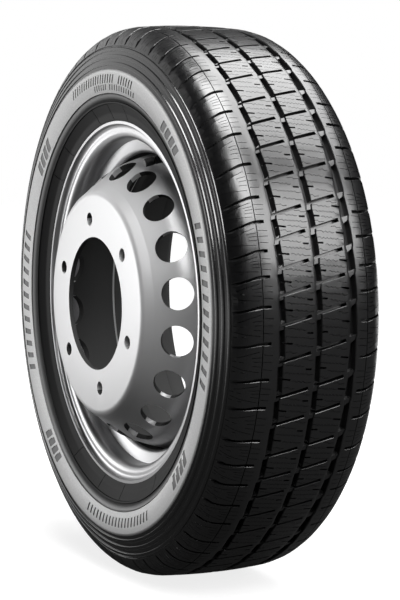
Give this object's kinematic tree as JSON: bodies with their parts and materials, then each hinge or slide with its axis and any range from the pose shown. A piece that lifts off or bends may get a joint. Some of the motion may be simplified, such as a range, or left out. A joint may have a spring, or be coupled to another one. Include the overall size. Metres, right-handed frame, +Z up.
{
  "type": "van tyre on a pressed steel wheel",
  "caption": "Van tyre with blocked all-season tread on a pressed steel wheel with a domed disc, hand holes, stud holes and a snap-in valve.",
  "frame": {"origin": "centre of the hub bore on the wheel's mounting face", "axes": "+Y along the axis the wheel turns about, towards the vehicle; -Y is the side seen from outside; +Z up"},
  "size_m": [0.672, 0.22, 0.672],
  "materials": {
    "tyre_rubber": "semi-matt, light grey band on the outboard sidewall",
    "silver_paint": "satin silver",
    "valve_rubber": "matt",
    "brass": "turned",
    "seal_rubber": "matt",
    "spring_steel": "bright wire",
    "cap_plastic": "semi-matt, ribbed"
  },
  "bodies": {
    "wheel": {"tyre": "tyre_rubber", "rim": "silver_paint", "disc": "silver_paint", "disc_weld": "silver_paint", "valve_body": "valve_rubber", "valve_stem": "brass", "core_plug": "brass", "core_barrel": "brass", "core_gasket": "seal_rubber", "core_spring": "spring_steel"},
    "core": {"core_pin": "brass", "core_cup": "brass", "core_seal": "seal_rubber"},
    "cap": {"valve_cap": "cap_plastic", "cap_seal": "seal_rubber"}
  },
  "joints": [
    {"name": "core_press", "type": "slide", "parent": "wheel", "child": "core", "axis": [0.1033, 0.9613, 0.2556], "range_m": [0, 0.0012], "stiffness_N_per_m": 1500, "springref_m": -0.003, "deforming": ["core_spring"]},
    {"name": "cap_off", "type": "slide", "parent": "wheel", "child": "cap", "axis": [-0.1033, -0.9613, -0.2556], "range_m": [0, 0.0105]}
  ]
}
